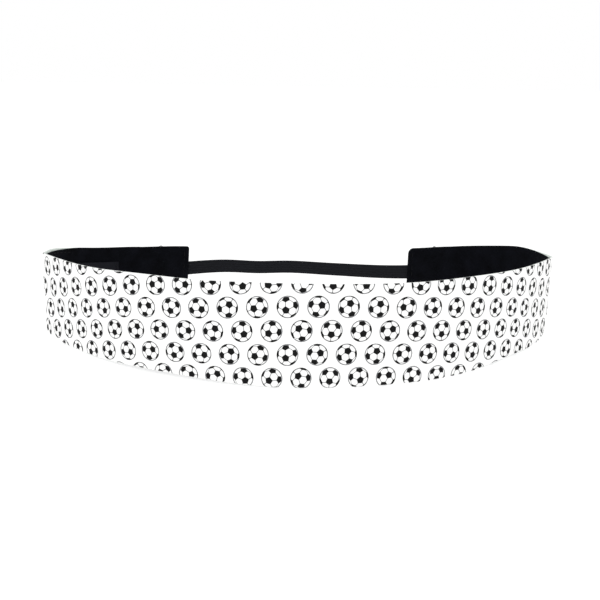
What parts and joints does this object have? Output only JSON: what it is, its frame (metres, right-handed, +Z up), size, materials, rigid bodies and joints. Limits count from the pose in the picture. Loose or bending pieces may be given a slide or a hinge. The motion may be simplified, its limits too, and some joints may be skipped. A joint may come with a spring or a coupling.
{
  "type": "sports headband",
  "caption": "Non-slip sports headband: a wide printed ribbon with a velvet lining, tapering to two ends that a narrow elastic joins behind the head.",
  "frame": {"origin": "centre of the loop's bounding box, on the level of the band's lower edge, which it stands on", "axes": "+Z up, the printed front faces -Y and the elastic lies at +Y, +X to the right as seen from the front"},
  "size_m": [0.215, 0.1012, 0.038],
  "materials": {
    "printed_ribbon": "white woven polyester ribbon with a black football print, outer face",
    "velvet": "black short-pile velvet, matte with a soft sheen at grazing angles",
    "elastic": "black knitted elastic with ribs along its length",
    "thread": "black polyester sewing thread",
    "satin_label": "black woven satin, blank"
  },
  "bodies": {
    "front": {"cover_front": "printed_ribbon", "lining_front": "velvet", "topstitch_lower_front": "thread", "topstitch_upper_front": "thread"},
    "left_tail": {"cover_left_tail": "printed_ribbon", "lining_left_tail": "velvet", "topstitch_lower_left_tail": "thread", "topstitch_upper_left_tail": "thread", "blank_label": "satin_label", "label_seam_fore": "thread", "label_seam_rear": "thread"},
    "left_tab": {"cover_left_tab": "printed_ribbon", "lining_left_tab": "velvet", "topstitch_lower_left_tab": "thread", "topstitch_upper_left_tab": "thread", "end_seam_left": "thread", "elastic_strap": "elastic"},
    "right_tail": {"cover_right_tail": "printed_ribbon", "lining_right_tail": "velvet", "topstitch_lower_right_tail": "thread", "topstitch_upper_right_tail": "thread"},
    "right_tab": {"cover_right_tab": "printed_ribbon", "lining_right_tab": "velvet", "topstitch_lower_right_tab": "thread", "topstitch_upper_right_tab": "thread", "end_seam_right": "thread"},
    "strap_end": {"elastic_right_end": "elastic"}
  },
  "joints": [
    {"name": "left_fold", "type": "hinge", "parent": "front", "child": "left_tail", "pos_m": [-0.10631, 0.013, 0], "axis": [0, 0, 1], "range_deg": [0, 40], "stiffness_Nm_per_rad": 0.1},
    {"name": "right_fold", "type": "hinge", "parent": "front", "child": "right_tail", "pos_m": [0.10631, 0.013, 0], "axis": [0, 0, -1], "range_deg": [0, 40]},
    {"name": "left_tab_bend", "type": "hinge", "parent": "left_tail", "child": "left_tab", "pos_m": [-0.0717, 0.04967, 0], "axis": [0, 0, -1], "range_deg": [0, 40]},
    {"name": "right_tab_bend", "type": "hinge", "parent": "right_tail", "child": "right_tab", "pos_m": [0.0717, 0.04967, 0], "axis": [0, 0, 1], "range_deg": [0, 40]},
    {"name": "elastic_stretch", "type": "slide", "parent": "left_tab", "child": "strap_end", "axis": [1, 0, 0], "range_m": [0, 0.0634], "deforming": ["elastic_strap"]}
  ],
  "couplings": [
    {"joint": "right_fold", "follows": "left_fold", "ratio": 1},
    {"joint": "left_tab_bend", "follows": "left_fold", "ratio": 1},
    {"joint": "right_tab_bend", "follows": "left_fold", "ratio": 1},
    {"joint": "elastic_stretch", "follows": "left_fold", "m_per_rad": 0.09073}
  ]
}
